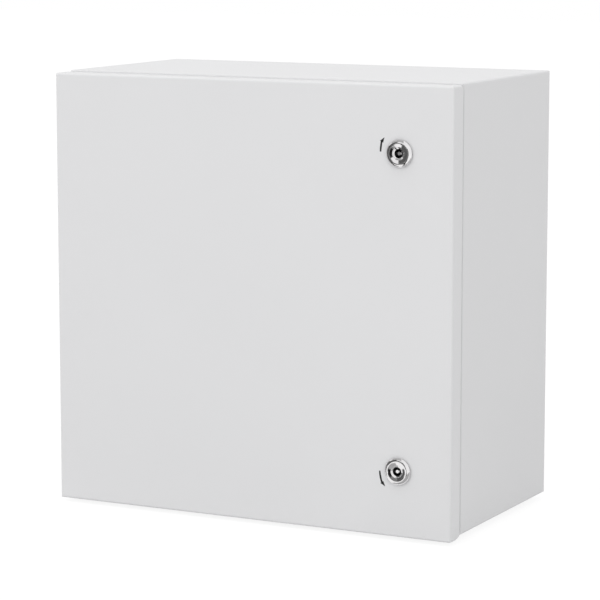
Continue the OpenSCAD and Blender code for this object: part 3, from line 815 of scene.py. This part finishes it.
def floor():
    material, f = newFinish("paleFloor")
    where = f.place()
    grain = f.speckle(where, 40 * mm, 2.0)
    tone = f.colourMix(grain, f.grey(studio["floorGrey"]), f.grey(studio["floorGrey"] * 1.02))
    cover = f.add("ShaderNodeBsdfPrincipled", None,
                  {"Base Color": tone, "Roughness": 0.9, "Specular IOR Level": 0.0})["BSDF"]
    glow = f.add("ShaderNodeEmission", None,
                 {"Color": (1.0, 1.0, 1.0, 1.0), "Strength": studio["floorGlow"]})["Emission"]
    lit = f.add("ShaderNodeAddShader", None, {0: cover, 1: glow})["Shader"]
    plain = f.add("ShaderNodeBsdfDiffuse", None, {"Color": (0.72, 0.72, 0.72, 1.0)})["BSDF"]
    above = f.add("ShaderNodeMixShader", None, {0: seenDirectly(f), 1: plain, 2: lit})["Shader"]
    below = f.add("ShaderNodeBsdfTransparent")["BSDF"]
    side = f.add("ShaderNodeNewGeometry")["Backfacing"]
    f.add("ShaderNodeOutputMaterial", None,
          {"Surface": f.add("ShaderNodeMixShader", None, {0: side, 1: above, 2: below})["Shader"]})
    level = cadBox[0].z - studio["floorDrop"]
    bm = bmesh.new()
    corners = [(-14, -14), (14, -14), (14, 14), (-14, 14)]
    bm.faces.new([bm.verts.new((x, y, level)) for x, y in corners])
    piece = meshPiece("floor", bm, material)


def softLamp(name, place, aim, size, power):
    lamp = bpy.data.lights.new(name, "AREA")
    lamp.shape = "RECTANGLE"
    lamp.size, lamp.size_y = size
    lamp.energy = power
    holder = bpy.data.objects.new(name, lamp)
    holder.location = place
    holder.rotation_euler = (Vector(aim) - Vector(place)).to_track_quat("-Z", "Y").to_euler()
    holder.visible_camera = False
    holder.visible_glossy = False
    bpy.context.scene.collection.objects.link(holder)
    return holder


def darkCard(name, corners, grey):
    # a card that only polished metal sees, for the dark parts of its reflections
    material, f = newFinish(name)
    f.surface({"Base Color": f.grey(grey), "Roughness": 1.0, "Specular IOR Level": 0.0})
    bm = bmesh.new()
    bm.faces.new([bm.verts.new(corner) for corner in corners])
    card = meshPiece(name, bm, material)
    for ray in ("camera", "diffuse", "shadow", "transmission", "volume_scatter"):
        setattr(card, "visible_" + ray, False)


def camera():
    view = {"lens": 159.776, "place": (1.68749, -3.4651, 0.53497), "yaw": -27.1967, "pitch": -8.5513}
    data = bpy.data.cameras.new("studioCamera")
    data.sensor_width = 36.0
    data.lens = view["lens"]
    data.clip_end = 60.0
    holder = bpy.data.objects.new("studioCamera", data)
    yaw, pitch = math.radians(view["yaw"]), math.radians(view["pitch"])
    ahead = Vector((math.sin(yaw) * math.cos(pitch), math.cos(yaw) * math.cos(pitch), math.sin(pitch)))
    holder.location = view["place"]
    holder.rotation_euler = ahead.to_track_quat("-Z", "Y").to_euler()
    bpy.context.scene.collection.objects.link(holder)
    bpy.context.scene.camera = holder


sky()
floor()
lamps = {  # name: place, aim, size, power
    "topSoftbox": ((-0.4, -1.2, 3.2), (0.0, -0.2, 0.0), (2.4, 2.4), studio["topPower"]),
    "frontSoftbox": ((-2.2, -4.0, 1.4), (0.0, -0.3, 0.0), (2.0, 2.0), studio["frontPower"]),
    "sideSoftbox": ((2.0, -2.0, 0.9), (0.2, -0.3, 0.0), (1.2, 1.2), studio["sidePower"]),
}
for name, values in lamps.items():
    softLamp(name, *values)

under = cadBox[0].z - 0.5 * mm  # cards that lie down are just above the floor
far = -1.6  # how far in front the standing cards are


def standing(left, right, top):
    return [(left, far, under), (right, far, under), (right, far, top), (left, far, top)]


def lying(*spots):
    return [(x, y, under) for x, y in spots]


cards = {  # name: corners, grey
    "cardRight": (standing(0.10, 0.33, 0.36), 0.02),
    "cardRightFloor": (lying((0.17, -0.62), (0.28, -0.62), (0.33, far), (0.05, far),
                             (-0.13, -1.12), (0.06, -1.12), (0.17, -0.95)), 0.02),
    "cardNearFloor": (lying((0.155, -0.36), (1.2, -0.36), (1.2, -0.62), (0.155, -0.62)), 0.42),
    "cardMiddle": (standing(-0.42, 0.10, 0.40), 0.28),
    "cardLeft": (standing(-2.6, -0.42, 1.2), 0.13),
    "cardLeftFloor": (lying((-2.4, -0.4), (0.09, -0.44), (-0.25, -0.85), (-0.5, -1.0),
                            (-0.5, far), (-2.4, far)), 0.10),
    "cardFarLeft": ([(-2.7, -0.36, under), (-2.7, far, under), (-2.7, far, 1.2), (-2.7, -0.36, 1.2)], 0.2),
    "cardAbove": ([(-2.4, -2.7, 1.8), (0.3, -2.7, 1.8), (0.3, 0.9, 1.8), (-2.4, 0.9, 1.8)], 0.62),
}
for name, (corners, grey) in cards.items():
    darkCard(name, corners, grey)
camera()
bpy.context.scene.view_settings.view_transform = "Standard"
print("studio ready")
